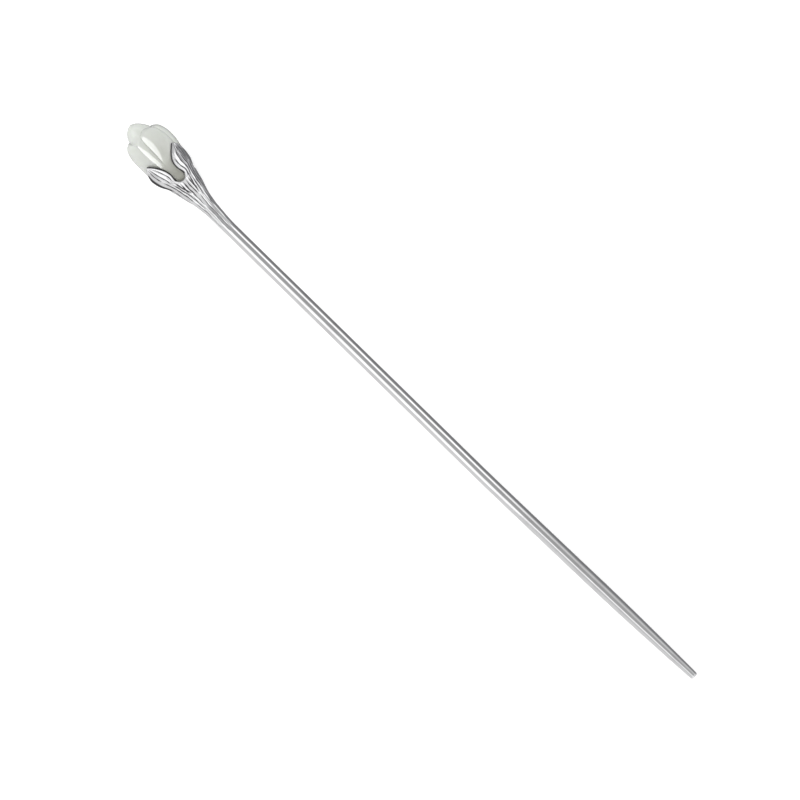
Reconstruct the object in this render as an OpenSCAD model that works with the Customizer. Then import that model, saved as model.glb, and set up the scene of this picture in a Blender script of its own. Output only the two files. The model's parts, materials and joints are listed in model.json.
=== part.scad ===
// A silver hair stick with a furled magnolia bud carved from pale jade.
// The stick is described standing on its point, with Z along its length, X towards its front
// and Y to the side that it bows to. It is then laid down on its back, as it rests on a table.

/* [Stick] */
// Whole length, from the end of the point to the top of the bud
stick_l = 180; // [170:1:190]
// Diameter of the shaft
shaft_d = 3.04; // [2.8:0.02:3.3]
// Diameter of the point, just behind its rounded end
point_d = 1.9; // [1.6:0.1:2.2]
// Length of the rounded end of the point
point_round = 0.8; // [0.6:0.1:1.2]
// Length over which the shaft tapers to the point
taper_l = 31; // [20:1:40]
// Length of the lower stretch that bows to one side
bow_l = 68; // [60:1:80]
// How far the end of the point stands to that side
bow_side = 1.1; // [0:0.1:1.5]
// How far the bud leans to the same side
head_side = 0.82; // [0:0.02:1]

/* [Bud] */
// Width of the bud at its widest place
bud_w = 10.9; // [10.7:0.05:11.2]
// Depth of the bud from front to back, as a share of its width
bud_flat = 0.963; // [0.94:0.01:1]
// Distance from the top of the bud down to its widest place
bud_widest = 8; // [7.5:0.1:8.5]
// Distance from the top of the bud down to the flat end of its root in the cup
bud_l = 20.1; // [19.5:0.1:20.5]
// Height of the outer petals above the widest place, if their shoulders closed
shoulder_h = 6.4; // [6.2:0.1:6.6]
// Distance below the widest place at which the root would close to nothing
root_h = 14.1; // [13.8:0.1:14.5]
// Depth by which the right side of a petal tucks under the next one
petal_tuck = 0.3; // [0.2:0.02:0.4]
// Depth of the bevel along the free left edge of a petal
petal_bevel = 0.14; // [0.08:0.02:0.18]
// Radius at the foot of the inner petals' dome
core_r = 3.75; // [3.65:0.05:3.95]
// Height of the inner petals' dome
core_h = 5.7; // [5.5:0.1:5.9]

/* [Calyx] */
// Distance from the top of the bud down to the first flare of the shaft
calyx_l = 34; // [33:0.5:36]
// Distance from the top of the bud down to the bottom of the notches between sepals
notch_depth = 17.4; // [17.2:0.1:17.8]
// Distance from the top of the bud down to the tip of the longest sepal
sepal_depth = 9.5; // [9.3:0.1:10]
// Half of the widest angle of a sepal, in degrees
sepal_half = 32.5; // [30:0.5:34]
// Half of the angle of a sepal at its waist, just above a notch, in degrees
sepal_waist = 25.5; // [24:0.5:28]
// Height of the rounded corners of a notch
notch_round = 1.2; // [1:0.05:1.4]
// Height of the cast veins
vein_h = 0.1; // [0:0.01:0.14]
// Clearance between the jade and the silver
seat_gap = 0.06; // [0.04:0.01:0.1]

/* [Hidden] */

full_turn = 360;
shaft_r = shaft_d / 2;
point_r = point_d / 2;
bud_r = bud_w / 2;
bud_wide_z = stick_l - bud_widest;
bud_root_z = stick_l - bud_l;
calyx_z = stick_l - calyx_l;
notch_z = stick_l - notch_depth;

// Sepals, round from the front towards +Y: how much shorter each is than the longest, lean of
// its tip in degrees, share of its length at which it is widest, and power of its pointed end
sepal_table = [
    [0.10, 1, 0.42, 2.2],
    [0.10, 6, 0.42, 1.8],
    [0.10, -6, 0.42, 1.8],
    [0.00, 0, 0.45, 1.9]
];
SHORTER = 0;
TIP_LEAN = 1;
WIDEST = 2;
POINT_POWER = 3;
sepals = len(sepal_table);
sepal_pitch = full_turn / sepals;
// Shares of a sepal's length between which its waist widens to its belly
waist_end = 0.1;
belly_start = 0.38;
// How much sooner than at its tip a sepal has its whole lean
lean_reach = 1.3;
// Length over which the veins come up out of the smooth shaft
vein_fade = 6;
// How fast the veins die out towards the sides of a sepal
vein_side_fade = 4;
// Step by which the bowed stretch and the calyx's neck are thinner than the straight shaft
// that they run into
shaft_step = 0.02;
// The frame's origin is midway between the part's two sides. The calyx reaches past the bud
// on one of them, so the origin is this far from the bud's middle line.
side_shift = 0.129;
middle_side = head_side - side_shift;

// Powers that give the bow its curve and the point its round end
bow_power = 1.25;
point_power = 2.4;
// Powers that give the bud its shoulders, its root and its inner dome
shoulder_power = 2.4;
root_power = 2.065;
core_power = 1.6;
core_close = 0.6;

// Outline of the calyx: depth below the top of the bud, and radius as a share of the way
// from the shaft's radius to the bud's
calyx_outline = [
    [35.0, 0.000],
    [31.2, 0.008],
    [28.5, 0.036],
    [25.7, 0.090],
    [23.0, 0.208],
    [20.3, 0.413],
    [17.5, 0.597],
    [15.3, 0.857],
    [13.4, 0.980],
    [11.6, 1.048],
    [9.0, 1.086]
];

// How the middle line leans: depth below the top of the bud, and share of the bud's lean
lean_curve = [
    [34.0, 0.000],
    [32.6, 0.003],
    [30.8, 0.050],
    [28.6, 0.160],
    [23.0, 0.400],
    [19.6, 0.580],
    [16.0, 0.600],
    [12.6, 0.510],
    [10.2, 0.860],
    [8.2, 1.000]
];

// Petals, round from the front towards +Y: angle of the free left edge, its drift at the root,
// its drift at the top, angle of the petal's tip, depth of that tip below the top of the bud,
// height over which the petal's top rounds in to the inner petals, share of its thickness left
// there, share of its width that is bevelled, and power of its tuck under the next petal
petal_table = [
    [-23, 9, -9, -12, 2.75, 2.8, 0, 0.5, 1],
    [-6.5, 4, 13, 28, 2.9, 1.0, 0.3, 0.17, 3],
    [58, 6, -6, 125, 3.2, 1.0, 0.3, 0.17, 3],
    [197, 6, 4, 270, 2.7, 1.0, 0.3, 0.17, 3]
];
petals = len(petal_table);
EDGE = 0;
ROOT_DRIFT = 1;
TOP_DRIFT = 2;
TIP_ANGLE = 3;
TIP_DEPTH = 4;
TIP_ROUND = 5;
LIP = 6;
BEVEL_SHARE = 7;
TUCK_POWER = 8;

// How far a petal's top edge falls from its tip over a quarter turn, and the power of that fall
petal_fall = 1.6;
petal_fall_power = 1.5;
// Step up from a petal's top edge to the first line of the inner petals
lip_step = 0.03;
// Angle between the two lines of points that make a petal's free edge
edge_step = 1;
// Height above the widest place that the drifts of a petal's edge are given for
drift_h = 4.6;

// Numbers of facets
straight_fn = 96;
shaft_sides = 24;
point_rings = 8;
bow_rings = 18;
sepal_columns = 20;
veins = 5;
neck_rows = 16;
corner_rows = 5;
leaf_rows = 16;
wall_rows = 5;
petal_column_angle = 7.4;
// How much closer the columns of points stand near a petal's free edge
column_power = 1.25;
petal_rows = 34;
core_rows = 12;

function clamp01(t) = min(1, max(0, t));
function ease(t) = let (c = clamp01(t)) c * c * (3 - 2 * c);
function blend(a, b, t) = a + (b - a) * t;

// A smooth curve through the rows of a table whose first column falls
function row_slope(rows, i) = let (
        lo = max(0, i - 1),
        hi = min(len(rows) - 1, i + 1)
    ) (rows[hi][1] - rows[lo][1]) / (rows[hi][0] - rows[lo][0]);
function row_before(rows, x, i = 0) =
    i >= len(rows) - 2 || x > rows[i + 1][0] ? i : row_before(rows, x, i + 1);
function curve_at(rows, x) = let (
        i = row_before(rows, x),
        span = rows[i + 1][0] - rows[i][0],
        t = clamp01((x - rows[i][0]) / span),
        t2 = t * t,
        t3 = t2 * t
    ) rows[i][1] * (2 * t3 - 3 * t2 + 1) + span * row_slope(rows, i) * (t3 - 2 * t2 + t)
    + rows[i + 1][1] * (3 * t2 - 2 * t3) + span * row_slope(rows, i + 1) * (t3 - t2);

// Sideways place of the middle line at a height
function side_at(z) = z < bow_l ? bow_side * pow((bow_l - z) / bow_l, bow_power)
    : head_side * curve_at(lean_curve, stick_l - z);

// Radius of the tapered shaft at a height
function shaft_r_at(z) = z < point_round
    ? point_r * pow(1 - pow(1 - z / point_round, point_power), 1 / point_power)
    : blend(point_r, shaft_r - shaft_step, sin(90 * clamp01((z - point_round) / taper_l)));

// Radius of the outer petals at a height, before they are flattened and parted
function bud_r_at(z) = let (rise = z - bud_wide_z) rise > 0
    ? bud_r * pow(max(0, 1 - pow(rise / shoulder_h, shoulder_power)), 0.5)
    : bud_r * (1 - pow(-rise / root_h, root_power));

// Radius of the dome of inner petals at a height
function core_r_at(z) = let (down = stick_l - z) down >= core_h ? core_r
    : core_r * pow(max(0, 1 - pow(1 - down / core_h, core_power)), core_close);

// The bud's cross-section is an ellipse, narrower from front to back
function flatten_at(angle) = 1 / sqrt(pow(cos(angle) / bud_flat, 2) + pow(sin(angle), 2));

// Radius of the calyx at a height
function calyx_r_at(z) = blend(shaft_r, bud_r, curve_at(calyx_outline, stick_l - z));

// Height of a sepal's tip
function sepal_tip_z(k) = stick_l - sepal_depth - sepal_table[k][SHORTER];

// Half angle of a sepal at a height: a round-cornered notch, a waist, a belly and a point
function sepal_half_at(k, z) = let (
        row = sepal_table[k],
        share = (z - notch_z) / (sepal_tip_z(k) - notch_z),
        leaf = share > row[WIDEST]
            ? sepal_half * (1 - pow((share - row[WIDEST]) / (1 - row[WIDEST]), row[POINT_POWER]))
            : blend(sepal_waist, sepal_half, ease((share - waist_end) / (belly_start - waist_end))),
        corner = clamp01(1 - (z - notch_z) / notch_round)
    ) share <= 0 ? sepal_pitch / 2
    : leaf + (sepal_pitch / 2 - leaf) * (1 - sqrt(1 - corner * corner));

// Angle of a sepal's middle line at a height
function sepal_angle_at(k, z) = (k + 0.5) * sepal_pitch + sepal_table[k][TIP_LEAN]
    * ease(lean_reach * (z - notch_z) / (sepal_tip_z(k) - notch_z));

// A point at an angle round the middle line
function ring_point(z, angle, r) = [r * cos(angle), side_at(z) + r * sin(angle), z];

// The two triangles of a patch whose corners run clockwise seen from outside
function patch(a, b, c, d) = [[a, b, c], [a, c, d]];

// Stack of closed rings of points: faces of its side, with flat ends
function stack_faces(rings, sides) = concat(
    [for (r = [0 : rings - 2]) for (s = [0 : sides - 1]) let (
            n = (s + 1) % sides,
            low = r * sides,
            high = low + sides
        ) each patch(low + s, high + s, high + n, low + n)],
    [[for (s = [0 : sides - 1]) s]],
    [[for (s = [sides - 1 : -1 : 0]) (rings - 1) * sides + s]]
);

// The rounded point and the bowed stretch, whose end lies inside the straight one
module lower_shaft() {
    first_ring = 0.35;
    end_z = bow_l + shaft_d;
    heights = concat(
        [for (i = [0 : point_rings - 1])
            point_round * (1 - cos(90 * (i + first_ring) / point_rings))],
        [for (i = [0 : bow_rings]) blend(point_round, end_z, i / bow_rings)]
    );
    points = [for (z = heights) for (s = [0 : shaft_sides - 1])
        ring_point(z, full_turn * s / shaft_sides, shaft_r_at(z))];
    polyhedron(points, stack_faces(len(heights), shaft_sides));
}

module straight_shaft() {
    translate([0, 0, bow_l]) cylinder(r = shaft_r, h = calyx_z - bow_l, $fn = straight_fn);
}

// The cup and its sepals: an outer skin that stands on the shaft, and an inner one round the jade
module calyx() {
    around = sepals * sepal_columns;
    leaf_line = sepal_columns + 1;
    leaf_row = sepals * leaf_line;
    start_z = calyx_z - shaft_d;
    cup_floor_z = bud_root_z - seat_gap;
    // The last row of a sepal stops short of its mathematical tip
    tip_share = 0.985;

    neck_z = [for (i = [0 : neck_rows]) blend(start_z, notch_z, i / neck_rows)];
    wall_z = [for (i = [0 : wall_rows]) blend(cup_floor_z, notch_z, i / wall_rows)];

    function leaf_z(k, row) = row <= corner_rows
        ? notch_z + notch_round * (1 - cos(90 * row / corner_rows))
        : blend(notch_z + notch_round, blend(notch_z, sepal_tip_z(k), tip_share),
            sin(90 * (row - corner_rows) / (leaf_rows - corner_rows)));
    function vein_at(z, across) = vein_h * cos(full_turn / 2 * veins * across)
        * ease((z - calyx_z) / vein_fade)
        * ease(max((1 - abs(across)) * vein_side_fade, 1 - (z - notch_z) / (2 * notch_round)));
    function outer_r_at(z, across) = calyx_r_at(z) + vein_at(z, across)
        - (z < calyx_z ? shaft_step : 0);
    function inner_r_at(z, angle) = bud_r_at(z) * flatten_at(angle) + seat_gap;
    function neck_ring(heights, inner) = [for (z = heights) for (s = [0 : around - 1]) let (
            across = 2 * (s % sepal_columns) / sepal_columns - 1,
            angle = floor(s / sepal_columns) * sepal_pitch + sepal_pitch / 2
                + across * sepal_pitch / 2
        ) ring_point(z, angle, inner ? inner_r_at(z, angle) : outer_r_at(z, across))];
    function leaf_lines(inner) = [for (row = [1 : leaf_rows]) for (k = [0 : sepals - 1])
        for (c = [0 : sepal_columns]) let (
            z = leaf_z(k, row),
            across = 2 * c / sepal_columns - 1,
            angle = sepal_angle_at(k, z) + across * sepal_half_at(k, z)
        ) ring_point(z, angle, inner ? inner_r_at(z, angle) : outer_r_at(z, across))];

    outer_neck = neck_ring(neck_z, false);
    outer_leaf = leaf_lines(false);
    inner_neck = neck_ring(wall_z, true);
    inner_leaf = leaf_lines(true);
    first_outer_leaf = len(outer_neck);
    first_inner_neck = first_outer_leaf + len(outer_leaf);
    first_inner_leaf = first_inner_neck + len(inner_neck);

    // Row 0 of a sepal is the top ring of the neck, which its neighbours share
    function outer_at(row, k, c) = row == 0
        ? neck_rows * around + (k * sepal_columns + c) % around
        : first_outer_leaf + (row - 1) * leaf_row + k * leaf_line + c;
    function inner_at(row, k, c) = row == 0
        ? first_inner_neck + wall_rows * around + (k * sepal_columns + c) % around
        : first_inner_leaf + (row - 1) * leaf_row + k * leaf_line + c;

    neck_faces = [for (r = [0 : neck_rows - 1]) for (s = [0 : around - 1]) let (
            n = (s + 1) % around,
            low = r * around
        ) each patch(low + s, low + around + s, low + around + n, low + n)];
    wall_faces = [for (r = [0 : wall_rows - 1]) for (s = [0 : around - 1]) let (
            n = (s + 1) % around,
            low = first_inner_neck + r * around
        ) each patch(low + n, low + around + n, low + around + s, low + s)];
    leaf_faces = [for (k = [0 : sepals - 1]) for (r = [0 : leaf_rows - 1])
        for (c = [0 : sepal_columns - 1]) each concat(
            patch(outer_at(r, k, c), outer_at(r + 1, k, c),
                outer_at(r + 1, k, c + 1), outer_at(r, k, c + 1)),
            patch(inner_at(r, k, c + 1), inner_at(r + 1, k, c + 1),
                inner_at(r + 1, k, c), inner_at(r, k, c)))];
    side_faces = [for (k = [0 : sepals - 1]) for (r = [0 : leaf_rows - 1]) let (
            c = sepal_columns
        ) each concat(
            patch(inner_at(r, k, 0), inner_at(r + 1, k, 0), outer_at(r + 1, k, 0), outer_at(r, k, 0)),
            patch(outer_at(r, k, c), outer_at(r + 1, k, c), inner_at(r + 1, k, c), inner_at(r, k, c)))];
    tip_faces = [for (k = [0 : sepals - 1]) for (c = [0 : sepal_columns - 1])
        each patch(outer_at(leaf_rows, k, c), inner_at(leaf_rows, k, c),
            inner_at(leaf_rows, k, c + 1), outer_at(leaf_rows, k, c + 1))];
    end_faces = [
        [for (s = [0 : around - 1]) s],
        [for (s = [around - 1 : -1 : 0]) first_inner_neck + s]
    ];
    polyhedron(
        concat(outer_neck, outer_leaf, inner_neck, inner_leaf),
        concat(neck_faces, wall_faces, leaf_faces, side_faces, tip_faces, end_faces)
    );
}

// Angle of a petal's free edge at a height
function edge_at(i, z) = let (
        row = petal_table[i % petals],
        turn = floor(i / petals) * full_turn,
        rise = (z - bud_wide_z) / drift_h,
        drift = rise < 0 ? row[ROOT_DRIFT] * min(1, rise * rise)
            : row[TOP_DRIFT] * min(1, pow(rise, 3))
    ) turn + row[EDGE] + drift;

// Height of a petal's top edge at an angle
function petal_top_z(i, angle) = let (row = petal_table[i])
    stick_l - row[TIP_DEPTH]
    - petal_fall * pow(abs(angle - row[TIP_ANGLE]) / 90, petal_fall_power);

// Radius of the bud on a petal, at a share of the way from its free edge to the next one
function petal_r_at(i, share, z, top_z) = let (
        row = petal_table[i],
        bevel = petal_bevel * pow(clamp01(1 - share / row[BEVEL_SHARE]), 2),
        tuck = petal_tuck * pow(share, row[TUCK_POWER]),
        outer = bud_r_at(z) - bevel - tuck,
        inner = core_r_at(z),
        left = clamp01((top_z - z) / row[TIP_ROUND]),
        round_in = blend(row[LIP], 1, sqrt(1 - pow(1 - left, 2)))
    ) z < bud_wide_z || inner < outer && round_in == 1 ? outer
    : max(inner, blend(inner, outer, round_in));

// Petals furled round an inner dome: columns of points run up each petal from the root
module bud() {
    columns = [for (i = [0 : petals - 1]) let (
            span = edge_at(i + 1, bud_wide_z) - edge_at(i, bud_wide_z),
            n = max(3, round(span / petal_column_angle))
        ) each [for (c = [0 : n]) [i, pow(c / n, column_power)]]];
    sides = len(columns);
    function column_angle(i, share, z) = blend(edge_at(i, z), edge_at(i + 1, z) - edge_step, share);
    // Below its top edge a petal's own rows follow that edge; above it are the inner petals
    function petal_line(t) = [for (col = columns) let (
            top_z = petal_top_z(col[0], column_angle(col[0], col[1], bud_wide_z)),
            z = blend(bud_root_z, top_z, t),
            angle = column_angle(col[0], col[1], z),
            r = petal_r_at(col[0], col[1], z, top_z)
        ) ring_point(z, angle, r * flatten_at(angle))];
    function core_line(t) = [for (col = columns) let (
            top_z = petal_top_z(col[0], column_angle(col[0], col[1], bud_wide_z)),
            z = blend(top_z + lip_step, stick_l, 1 - pow(1 - t, 2)),
            angle = column_angle(col[0], col[1], top_z)
        ) ring_point(z, angle, core_r_at(z) * flatten_at(angle))];
    lines = concat(
        [for (r = [0 : petal_rows]) each petal_line(sin(90 * r / petal_rows))],
        [for (r = [0 : core_rows - 1]) each core_line(r / core_rows)]
    );
    rings = petal_rows + 1 + core_rows;
    top = rings * sides;
    side = [for (r = [0 : rings - 2]) for (s = [0 : sides - 1]) let (
            n = (s + 1) % sides,
            low = r * sides
        ) each patch(low + s, low + sides + s, low + sides + n, low + n)];
    cap = [for (s = [0 : sides - 1]) [top - sides + s, top, top - sides + (s + 1) % sides]];
    root = [[for (s = [0 : sides - 1]) s]];
    polyhedron(concat(lines, [[0, side_at(stick_l), stick_l]]), concat(side, cap, root));
}

// How far the inner edge of a back sepal reaches behind the middle line at a height
back_sepal = 1;
function back_reach(z) = calyx_r_at(z)
    * cos(full_turn / 2 - sepal_angle_at(back_sepal, z) - sepal_half_at(back_sepal, z));

// The back sepals' inner edges and the point touch the table, so the stick tilts a little.
// The point touches at a share of its taper, and the sepals somewhere along theirs.
point_touch = 0.3;
sepal_touch = [0.3 : 0.02 : 0.9];
touch_z = point_touch * taper_l;
touch_r = shaft_r_at(touch_z);
rest_tilt = max([for (share = sepal_touch)
    let (z = blend(notch_z, sepal_tip_z(back_sepal), share))
    atan((back_reach(z) - touch_r) / (z - touch_z))]);
rest_lift = touch_r * cos(rest_tilt) - touch_z * sin(rest_tilt);

module laid_down() {
    translate([stick_l / 2, -middle_side, rest_lift]) rotate([0, rest_tilt - 90, 0]) children();
}

module silver_stick() {
    color([0.78, 0.78, 0.80]) laid_down() union() {
        straight_shaft();
        lower_shaft();
        calyx();
    }
}

module jade_bud() {
    color([0.84, 0.87, 0.83]) laid_down() bud();
}

silver_stick();
jade_bud();
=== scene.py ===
import json
import math

import bpy
import numpy as np
from mathutils import Matrix, Vector
from mathutils.kdtree import KDTree


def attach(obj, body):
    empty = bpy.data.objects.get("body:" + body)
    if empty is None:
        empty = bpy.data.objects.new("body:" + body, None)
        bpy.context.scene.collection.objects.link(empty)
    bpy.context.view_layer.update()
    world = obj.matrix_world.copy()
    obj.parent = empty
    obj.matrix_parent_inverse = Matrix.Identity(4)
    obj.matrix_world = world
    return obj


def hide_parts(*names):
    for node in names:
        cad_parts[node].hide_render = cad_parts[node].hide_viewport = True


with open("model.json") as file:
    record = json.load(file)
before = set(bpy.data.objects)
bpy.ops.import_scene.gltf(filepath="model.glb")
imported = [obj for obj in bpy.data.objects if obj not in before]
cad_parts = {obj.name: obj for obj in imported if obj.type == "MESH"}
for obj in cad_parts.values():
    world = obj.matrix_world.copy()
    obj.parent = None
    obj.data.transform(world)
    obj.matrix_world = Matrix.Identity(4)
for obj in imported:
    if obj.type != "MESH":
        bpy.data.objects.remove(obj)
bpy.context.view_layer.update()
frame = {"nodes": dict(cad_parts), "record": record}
print("frame loaded:", ", ".join(sorted(frame["nodes"])))

mm = 0.001
tiny = 0.001  # a width that stands for none, where something is divided by it

# The stick is worked out standing on its point, in mm: x out of its front, y to the side it
# bows to, z up to the bud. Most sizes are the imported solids', and some shapes are finer here.
stick = {
    "length": 180.0,
    "mountHeight": 107.0,  # of the shaft's mount above the end of the point
    "shaftRadius": 1.52,
    "pointRadius": 0.931,
    "pointStart": 0.008,  # height of the very end
    "pointRound": 0.7,
    "pointPower": 4.0,
    "pointShift": 0.02,  # keeps the first ring off the very end, as a share of the rounding
    "taperLength": 31.0,
    "bowLength": 68.0,
    "bowSide": 1.1,
    "bowPower": 1.25,
    "headSide": 0.82,
    # how the middle line leans from the calyx's start to the bud, as a share of that
    "lean": [(34.0, 0.0), (32.6, 0.003), (30.8, 0.05), (28.6, 0.16), (23.0, 0.40), (19.6, 0.58),
             (16.0, 0.60), (12.6, 0.51), (10.2, 0.86), (8.2, 1.0)],
    "columns": 90,
    "rings": 76,
    "pointRings": 14,
    "sharpAngle": 48,
}

bud = {
    "width": 10.885,
    "topHeight": 179.996,
    "flatness": 0.963,
    "widestDepth": 8.0,  # depths are measured down from the top of the bud
    "rootDepth": 20.1,
    "shoulder": (6.4, 2.4),  # height and power of the curve above the widest place
    "rootReach": 14.1,
    "rootPower": 2.065,
    "domeRadius": 3.75,
    "domeHeight": 5.7,
    "domePower": 1.6,
    "domeClose": 0.6,
    "edgeStep": 0.3,  # degrees between a petal's tucked side and the next one's free edge
    "topFallPower": 1.5,
    "driftHeight": 4.6,
    "petalRows": 150,
    "domeRows": 44,
    # how much wider the dome is on its left at the top, how that falls, and how narrow it is
    "domeLobe": (0.26, 0.52, 1.5),
    "domeStart": 0.02,  # how far above the petals' tops its first ring is
    # the first petal runs on into the dome: angles where that starts, is full, and ends
    "merge": (-95.0, -36.0, -2.0, 45.0),
    "mergeFade": 0.7,  # how far below a petal's top the merged dome gives way to the plain one
    "edgeEnd": (13.0, 11.0),  # depths between which the petals' edges run out below
    "gougeSoft": 0.1,  # rounds the gouges' floors
    "tuck": (0.3, 1.25),  # least reach and power of a petal's tucked side
    "crowding": 0.8,  # how much closer the columns stand at a petal's sides
    "leastRadius": 1.5,  # taken for a petal's width near the top
    "sharpAngle": 40,
    # A petal begins at its free edge, which laps over the petal before it by a step. The edge
    # drifts at the root and at the top. A gouge along it has the widths given by depth. A face
    # is a side cut flat: its angle, distance as a share of the radius, and the sharpness of its
    # borders. A share of 1 leaves it round.
    "petals": [
        {"edge": -27.6, "drift": (8.5, -8.0), "tip": -12.0, "tipDepth": 2.3, "tipRound": 2.6,
         "merges": True, "fall": 1.6, "shoulder": (6.4, 2.4),
         "columns": 70, "slope": 0.04, "step": 0.20, "stepReach": 0.0, "round": 0.09,
         "face": (0, 1, 0),
         "gouge": [(12.6, 0.0), (11.6, 0.8), (10.2, 1.14), (8.4, 1.1), (7.5, 1.05), (6.1, 0.7),
                   (4.8, 0.5), (3.7, 0.1)]},
        {"edge": -7.6, "drift": (4.0, 5.5), "tip": 26.0, "tipDepth": 2.9, "tipRound": 1.0,
         "merges": False, "fall": 3.0, "shoulder": (6.4, 2.4),
         "lip": 0.3, "columns": 110, "slope": 0.36, "step": 0.10, "stepReach": 2.4, "round": 0.09,
         "face": (0, 1, 0),
         "gouge": [(11.5, 0.0), (10.2, 0.84), (8.85, 1.34), (7.6, 1.66), (6.4, 1.72), (5.4, 1.48),
                   (4.76, 1.12), (4.1, 0.62), (3.5, 0.05)]},
        {"edge": 60.0, "drift": (6.0, -6.0), "tip": 125.0, "tipDepth": 3.2, "tipRound": 1.0,
         "merges": False, "fall": 1.6, "shoulder": (6.4, 2.4),
         "lip": 0.3, "columns": 90, "slope": 0.12, "step": 0.18, "stepReach": 1.2, "round": 0.35,
         "face": (0, 1, 0),
         "gouge": [(13.0, 0.0), (9.0, 1.0), (6.0, 1.0), (3.2, 0.0)]},
        {"edge": 197.0, "drift": (6.0, 4.0), "tip": 262.0, "tipDepth": 2.6, "tipRound": 1.0,
         "merges": False, "fall": 2.4, "shoulder": (6.9, 2.7),
         "lip": 0.3, "columns": 110, "slope": 0.30, "step": 0.16, "stepReach": 1.0, "round": 0.12,
         "face": (324, 0.91, 30),
         "gouge": [(13.0, 0.0), (9.0, 1.4), (6.0, 1.4), (3.2, 0.0)]},
    ],
}

calyx = {
    "startDepth": 34.0,
    "join": (1.2, 0.9),  # how far below that the shaft's rings end and the neck's begin
    "notchDepth": 17.4,
    "tipDepth": 9.5,
    "widestHalf": 32.5,
    "waistHalf": 25.5,
    "leastHalf": 0.3,
    "waistRise": (0.1, 0.38),  # shares of a sepal's length between which it widens
    "leanReach": 1.3,
    "cornerHeight": 1.2,
    "tipShare": 0.985,
    "seatGap": 0.06,
    "rimInset": 0.07,  # how far the outer edge stands back from the inner one
    "rimRound": (0.07, 0.16),  # how much the rims are rounded, and how far in that reaches
    "rimSamples": 600,
    "rimBelow": 2.5,  # how far below the notches the rims are felt
    "veinHeight": 0.03,
    "veins": 5,
    "veinFade": (6.0, 0.25),  # length in mm at the neck, and share of a sepal's half at its sides
    "outline": [
        (35.0, 0.000), (31.2, 0.008), (28.5, 0.036), (25.7, 0.090), (23.0, 0.208),
        (20.3, 0.413), (17.5, 0.597), (15.3, 0.857), (13.4, 0.977), (11.6, 1.044), (9.0, 1.082),
    ],
    # how much shorter than the longest, lean of the tip, share of its length where it is
    # widest, power of its pointed end
    "sepals": [(0.10, 1.0, 0.42, 2.2), (0.10, 6.0, 0.42, 1.8),
               (0.10, -6.0, 0.42, 1.8), (0.00, -3.5, 0.45, 1.9)],
    "sepalColumns": 90,
    "insideColumns": 9,
    "neckRows": 132,
    "cornerRows": 16,
    "leafRows": 92,
    "cupRows": 8,
}


def blend(a, b, t):
    return a + (b - a) * t


def ease(t):
    t = np.clip(t, 0, 1)
    return t * t * (3 - 2 * t)


def sinDeg(angle):
    return np.sin(np.radians(angle))


def cosDeg(angle):
    return np.cos(np.radians(angle))


# Shapes shared by the pieces

budRadius = bud["width"] / 2
budWidest = stick["length"] - bud["widestDepth"]
calyxStart = stick["length"] - calyx["startDepth"]
notchHeight = stick["length"] - calyx["notchDepth"]
sepalPitch = 360 / len(calyx["sepals"])


def smoothCurve(rows, x):
    # Hermite curve through rows of (x, y) whose x falls
    xs, ys = (np.array(column, float) for column in zip(*rows))
    before = np.clip(np.arange(len(xs)) - 1, 0, None)
    after = np.clip(np.arange(len(xs)) + 1, None, len(xs) - 1)
    slope = (ys[after] - ys[before]) / (xs[after] - xs[before])
    i = np.clip(np.searchsorted(-xs, -np.asarray(x), side="right") - 1, 0, len(xs) - 2)
    span = xs[i + 1] - xs[i]
    t = np.clip((x - xs[i]) / span, 0, 1)
    return (ys[i] * (2 * t**3 - 3 * t**2 + 1) + span * slope[i] * (t**3 - 2 * t**2 + t)
            + ys[i + 1] * (3 * t**2 - 2 * t**3) + span * slope[i + 1] * (t**3 - t**2))


def sideAt(z):
    low = np.clip((stick["bowLength"] - z) / stick["bowLength"], 0, 1)
    high = smoothCurve(stick["lean"], stick["length"] - np.asarray(z))
    return stick["bowSide"] * low ** stick["bowPower"] + stick["headSide"] * high


def shaftRadiusAt(z):
    rise = (z - stick["pointStart"]) / (stick["pointRound"] - stick["pointStart"])
    left = np.clip(1 - rise, 0, 1)
    nose = (1 - left ** stick["pointPower"]) ** (1 / stick["pointPower"])
    taper = np.clip((z - stick["pointRound"]) / stick["taperLength"], 0, 1)
    return nose * blend(stick["pointRadius"], stick["shaftRadius"], sinDeg(90 * taper))


def budRadiusAt(z, shoulder=bud["shoulder"]):
    rise = z - budWidest
    up = np.clip(1 - (np.maximum(rise, 0) / shoulder[0]) ** shoulder[1], 0, 1)
    down = (np.maximum(-rise, 0) / bud["rootReach"]) ** bud["rootPower"]
    return budRadius * np.where(rise > 0, np.sqrt(up), 1 - down)


def faced(angle, turn, share, sharpness):
    # share of the radius left where a round side is cut flat
    if share == 1:
        return 1.0
    flat = share / np.maximum(cosDeg(angle - turn), 0.2)
    return (1 + flat ** -sharpness) ** (-1 / sharpness)


def domeRadiusAt(z, angle):
    down = np.clip((stick["length"] - z) / bud["domeHeight"], 0, 1)
    radius = bud["domeRadius"] * (1 - (1 - down) ** bud["domePower"]) ** bud["domeClose"]
    wider, fall, narrow = bud["domeLobe"]
    lobe = np.maximum(wider - fall * down, 0) * np.maximum(-sinDeg(angle), 0) ** narrow
    return radius * (1 + lobe)


def mergedRadiusAt(z, angle):
    # the dome with the first petal running on into it
    petal = bud["petals"][0]
    start, full, fullEnd, end = bud["merge"]
    turn = (angle + 180) % 360 - 180
    share = ease((turn - start) / (full - start)) * ease((end - turn) / (end - fullEnd))
    dome = domeRadiusAt(z, angle)
    below = ease((petalTop(0, turn) - z) / petal["tipRound"])
    return dome + np.maximum(budRadiusAt(z, petal["shoulder"]) - dome, 0) * below * share


def flattenAt(angle):
    return 1 / np.sqrt((cosDeg(angle) / bud["flatness"]) ** 2 + sinDeg(angle) ** 2)


def calyxRadiusAt(z):
    share = smoothCurve(calyx["outline"], stick["length"] - z)
    return blend(stick["shaftRadius"], budRadius, share)


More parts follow.
